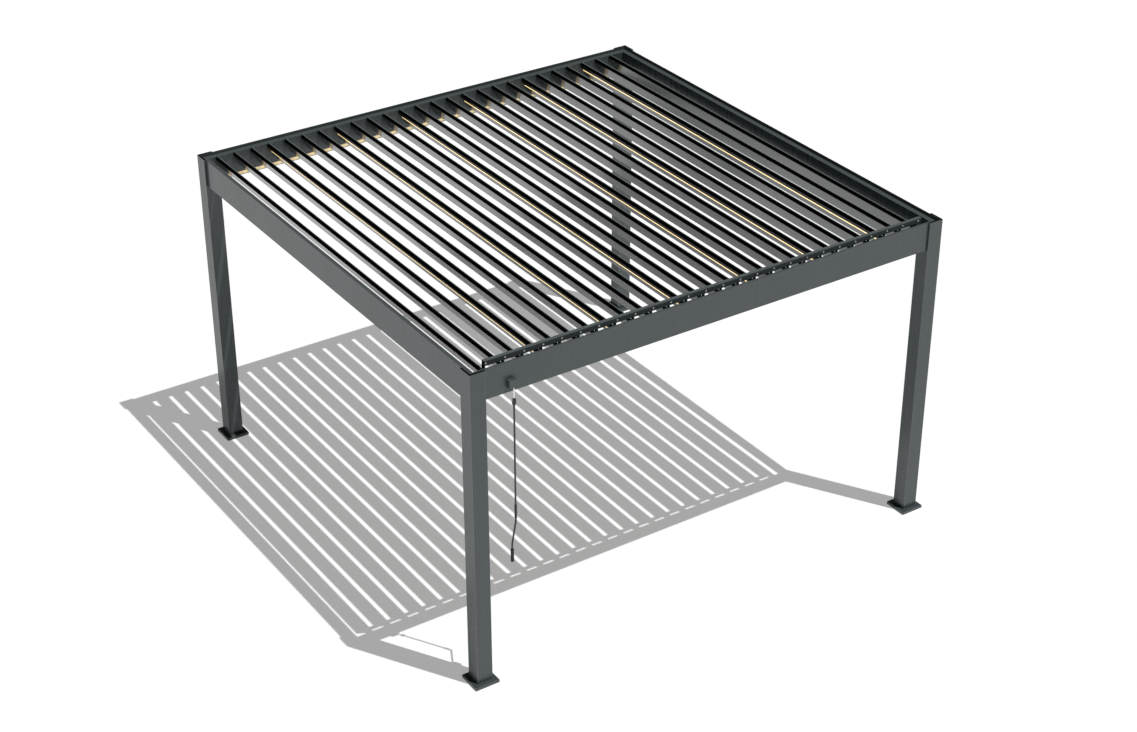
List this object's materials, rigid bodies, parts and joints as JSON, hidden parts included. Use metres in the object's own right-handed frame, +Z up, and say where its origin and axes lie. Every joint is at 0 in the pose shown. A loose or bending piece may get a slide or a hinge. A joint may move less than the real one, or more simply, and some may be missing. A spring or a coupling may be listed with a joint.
{
  "type": "louvered pergola",
  "caption": "Free-standing louvered pergola with a ring beam on square posts, turning roof louvres on a control bar, a hand crank and light strips.",
  "frame": {"origin": "on the ground, on the axis of the front left post", "axes": "+X along the front towards the front right post, +Y towards the back, +Z up"},
  "size_m": [4.07, 4.1318, 2.5195],
  "materials": {
    "frame_paint": "fine matt powder coat",
    "louvre_paint": "fine matt powder coat",
    "cover_paint": "fine matt powder coat",
    "bar_paint": "satin",
    "gearbox_grey": "satin",
    "light_diffuser": "frosted, lit from inside",
    "eye_metal": "satin",
    "crank_metal": "satin",
    "crank_grip": "matt"
  },
  "bodies": {
    "frame": {"beam_back": "frame_paint", "beam_front": "frame_paint", "beam_left": "frame_paint", "beam_right": "frame_paint", "crank_gearbox": "gearbox_grey", "foot_covers": "cover_paint", "frame_lights": "light_diffuser", "post_back_left": "frame_paint", "post_back_right": "frame_paint", "post_front_left": "frame_paint", "post_front_right": "frame_paint", "post_tops": "frame_paint"},
    "louvre_body_01": {"louvre_01": "louvre_paint"},
    "louvre_body_02": {"louvre_02": "louvre_paint"},
    "louvre_body_03": {"louvre_03": "louvre_paint"},
    "louvre_body_04": {"louvre_04": "louvre_paint", "louvre_light_04": "light_diffuser"},
    "louvre_body_05": {"louvre_05": "louvre_paint"},
    "louvre_body_06": {"louvre_06": "louvre_paint"},
    "louvre_body_07": {"louvre_07": "louvre_paint"},
    "louvre_body_08": {"louvre_08": "louvre_paint", "louvre_light_08": "light_diffuser"},
    "louvre_body_09": {"louvre_09": "louvre_paint"},
    "louvre_body_10": {"louvre_10": "louvre_paint"},
    "louvre_body_11": {"louvre_11": "louvre_paint"},
    "louvre_body_12": {"louvre_12": "louvre_paint", "louvre_light_12": "light_diffuser"},
    "louvre_body_13": {"louvre_13": "louvre_paint"},
    "louvre_body_14": {"louvre_14": "louvre_paint"},
    "louvre_body_15": {"louvre_15": "louvre_paint"},
    "louvre_body_16": {"louvre_16": "louvre_paint", "louvre_light_16": "light_diffuser"},
    "louvre_body_17": {"louvre_17": "louvre_paint"},
    "louvre_body_18": {"louvre_18": "louvre_paint"},
    "louvre_body_19": {"louvre_19": "louvre_paint"},
    "louvre_body_20": {"louvre_20": "louvre_paint", "louvre_light_20": "light_diffuser"},
    "louvre_body_21": {"louvre_21": "louvre_paint"},
    "louvre_body_22": {"louvre_22": "louvre_paint"},
    "louvre_body_23": {"louvre_23": "louvre_paint"},
    "louvre_body_24": {"louvre_24": "louvre_paint", "louvre_light_24": "light_diffuser"},
    "louvre_body_25": {"louvre_25": "louvre_paint"},
    "louvre_body_26": {"louvre_26": "louvre_paint"},
    "bar_body": {"control_bar": "bar_paint"},
    "crank_body": {"gearbox_eye": "eye_metal", "crank_rod": "crank_metal", "crank_grips": "crank_grip"}
  },
  "joints": [
    {"name": "crank_turn", "type": "hinge", "parent": "frame", "child": "crank_body", "pos_m": [0.27025, -0.06, 2.3], "axis": [0, 0, 1], "range_deg": [-2320, 1280]},
    {"name": "louvre_01_turn", "type": "hinge", "parent": "frame", "child": "louvre_body_01", "pos_m": [0.10875, 0.0435, 2.4], "axis": [0, 1, 0], "range_deg": [-58, 32]},
    {"name": "louvre_02_turn", "type": "hinge", "parent": "frame", "child": "louvre_body_02", "pos_m": [0.25525, 0.0435, 2.4], "axis": [0, 1, 0], "range_deg": [-58, 32]},
    {"name": "louvre_03_turn", "type": "hinge", "parent": "frame", "child": "louvre_body_03", "pos_m": [0.40175, 0.0435, 2.4], "axis": [0, 1, 0], "range_deg": [-58, 32]},
    {"name": "louvre_04_turn", "type": "hinge", "parent": "frame", "child": "louvre_body_04", "pos_m": [0.54825, 0.0435, 2.4], "axis": [0, 1, 0], "range_deg": [-58, 32]},
    {"name": "louvre_05_turn", "type": "hinge", "parent": "frame", "child": "louvre_body_05", "pos_m": [0.69475, 0.0435, 2.4], "axis": [0, 1, 0], "range_deg": [-58, 32]},
    {"name": "louvre_06_turn", "type": "hinge", "parent": "frame", "child": "louvre_body_06", "pos_m": [0.84125, 0.0435, 2.4], "axis": [0, 1, 0], "range_deg": [-58, 32]},
    {"name": "louvre_07_turn", "type": "hinge", "parent": "frame", "child": "louvre_body_07", "pos_m": [0.98775, 0.0435, 2.4], "axis": [0, 1, 0], "range_deg": [-58, 32]},
    {"name": "louvre_08_turn", "type": "hinge", "parent": "frame", "child": "louvre_body_08", "pos_m": [1.13425, 0.0435, 2.4], "axis": [0, 1, 0], "range_deg": [-58, 32]},
    {"name": "louvre_09_turn", "type": "hinge", "parent": "frame", "child": "louvre_body_09", "pos_m": [1.28075, 0.0435, 2.4], "axis": [0, 1, 0], "range_deg": [-58, 32]},
    {"name": "louvre_10_turn", "type": "hinge", "parent": "frame", "child": "louvre_body_10", "pos_m": [1.42725, 0.0435, 2.4], "axis": [0, 1, 0], "range_deg": [-58, 32]},
    {"name": "louvre_11_turn", "type": "hinge", "parent": "frame", "child": "louvre_body_11", "pos_m": [1.57375, 0.0435, 2.4], "axis": [0, 1, 0], "range_deg": [-58, 32]},
    {"name": "louvre_12_turn", "type": "hinge", "parent": "frame", "child": "louvre_body_12", "pos_m": [1.72025, 0.0435, 2.4], "axis": [0, 1, 0], "range_deg": [-58, 32]},
    {"name": "louvre_13_turn", "type": "hinge", "parent": "frame", "child": "louvre_body_13", "pos_m": [1.86675, 0.0435, 2.4], "axis": [0, 1, 0], "range_deg": [-58, 32]},
    {"name": "louvre_14_turn", "type": "hinge", "parent": "frame", "child": "louvre_body_14", "pos_m": [2.01325, 0.0435, 2.4], "axis": [0, 1, 0], "range_deg": [-58, 32]},
    {"name": "louvre_15_turn", "type": "hinge", "parent": "frame", "child": "louvre_body_15", "pos_m": [2.15975, 0.0435, 2.4], "axis": [0, 1, 0], "range_deg": [-58, 32]},
    {"name": "louvre_16_turn", "type": "hinge", "parent": "frame", "child": "louvre_body_16", "pos_m": [2.30625, 0.0435, 2.4], "axis": [0, 1, 0], "range_deg": [-58, 32]},
    {"name": "louvre_17_turn", "type": "hinge", "parent": "frame", "child": "louvre_body_17", "pos_m": [2.45275, 0.0435, 2.4], "axis": [0, 1, 0], "range_deg": [-58, 32]},
    {"name": "louvre_18_turn", "type": "hinge", "parent": "frame", "child": "louvre_body_18", "pos_m": [2.59925, 0.0435, 2.4], "axis": [0, 1, 0], "range_deg": [-58, 32]},
    {"name": "louvre_19_turn", "type": "hinge", "parent": "frame", "child": "louvre_body_19", "pos_m": [2.74575, 0.0435, 2.4], "axis": [0, 1, 0], "range_deg": [-58, 32]},
    {"name": "louvre_20_turn", "type": "hinge", "parent": "frame", "child": "louvre_body_20", "pos_m": [2.89225, 0.0435, 2.4], "axis": [0, 1, 0], "range_deg": [-58, 32]},
    {"name": "louvre_21_turn", "type": "hinge", "parent": "frame", "child": "louvre_body_21", "pos_m": [3.03875, 0.0435, 2.4], "axis": [0, 1, 0], "range_deg": [-58, 32]},
    {"name": "louvre_22_turn", "type": "hinge", "parent": "frame", "child": "louvre_body_22", "pos_m": [3.18525, 0.0435, 2.4], "axis": [0, 1, 0], "range_deg": [-58, 32]},
    {"name": "louvre_23_turn", "type": "hinge", "parent": "frame", "child": "louvre_body_23", "pos_m": [3.33175, 0.0435, 2.4], "axis": [0, 1, 0], "range_deg": [-58, 32]},
    {"name": "louvre_24_turn", "type": "hinge", "parent": "frame", "child": "louvre_body_24", "pos_m": [3.47825, 0.0435, 2.4], "axis": [0, 1, 0], "range_deg": [-58, 32]},
    {"name": "louvre_25_turn", "type": "hinge", "parent": "frame", "child": "louvre_body_25", "pos_m": [3.62475, 0.0435, 2.4], "axis": [0, 1, 0], "range_deg": [-58, 32]},
    {"name": "louvre_26_turn", "type": "hinge", "parent": "frame", "child": "louvre_body_26", "pos_m": [3.77125, 0.0435, 2.4], "axis": [0, 1, 0], "range_deg": [-58, 32]},
    {"name": "bar_swing", "type": "hinge", "parent": "louvre_body_13", "child": "bar_body", "pos_m": [1.86675, 0.03, 2.501], "axis": [0, 1, 0], "range_deg": [-32, 58]}
  ],
  "couplings": [
    {"joint": "louvre_01_turn", "follows": "crank_turn", "ratio": 0.025},
    {"joint": "louvre_02_turn", "follows": "crank_turn", "ratio": 0.025},
    {"joint": "louvre_03_turn", "follows": "crank_turn", "ratio": 0.025},
    {"joint": "louvre_04_turn", "follows": "crank_turn", "ratio": 0.025},
    {"joint": "louvre_05_turn", "follows": "crank_turn", "ratio": 0.025},
    {"joint": "louvre_06_turn", "follows": "crank_turn", "ratio": 0.025},
    {"joint": "louvre_07_turn", "follows": "crank_turn", "ratio": 0.025},
    {"joint": "louvre_08_turn", "follows": "crank_turn", "ratio": 0.025},
    {"joint": "louvre_09_turn", "follows": "crank_turn", "ratio": 0.025},
    {"joint": "louvre_10_turn", "follows": "crank_turn", "ratio": 0.025},
    {"joint": "louvre_11_turn", "follows": "crank_turn", "ratio": 0.025},
    {"joint": "louvre_12_turn", "follows": "crank_turn", "ratio": 0.025},
    {"joint": "louvre_13_turn", "follows": "crank_turn", "ratio": 0.025},
    {"joint": "louvre_14_turn", "follows": "crank_turn", "ratio": 0.025},
    {"joint": "louvre_15_turn", "follows": "crank_turn", "ratio": 0.025},
    {"joint": "louvre_16_turn", "follows": "crank_turn", "ratio": 0.025},
    {"joint": "louvre_17_turn", "follows": "crank_turn", "ratio": 0.025},
    {"joint": "louvre_18_turn", "follows": "crank_turn", "ratio": 0.025},
    {"joint": "louvre_19_turn", "follows": "crank_turn", "ratio": 0.025},
    {"joint": "louvre_20_turn", "follows": "crank_turn", "ratio": 0.025},
    {"joint": "louvre_21_turn", "follows": "crank_turn", "ratio": 0.025},
    {"joint": "louvre_22_turn", "follows": "crank_turn", "ratio": 0.025},
    {"joint": "louvre_23_turn", "follows": "crank_turn", "ratio": 0.025},
    {"joint": "louvre_24_turn", "follows": "crank_turn", "ratio": 0.025},
    {"joint": "louvre_25_turn", "follows": "crank_turn", "ratio": 0.025},
    {"joint": "louvre_26_turn", "follows": "crank_turn", "ratio": 0.025},
    {"joint": "bar_swing", "follows": "crank_turn", "ratio": -0.025}
  ]
}
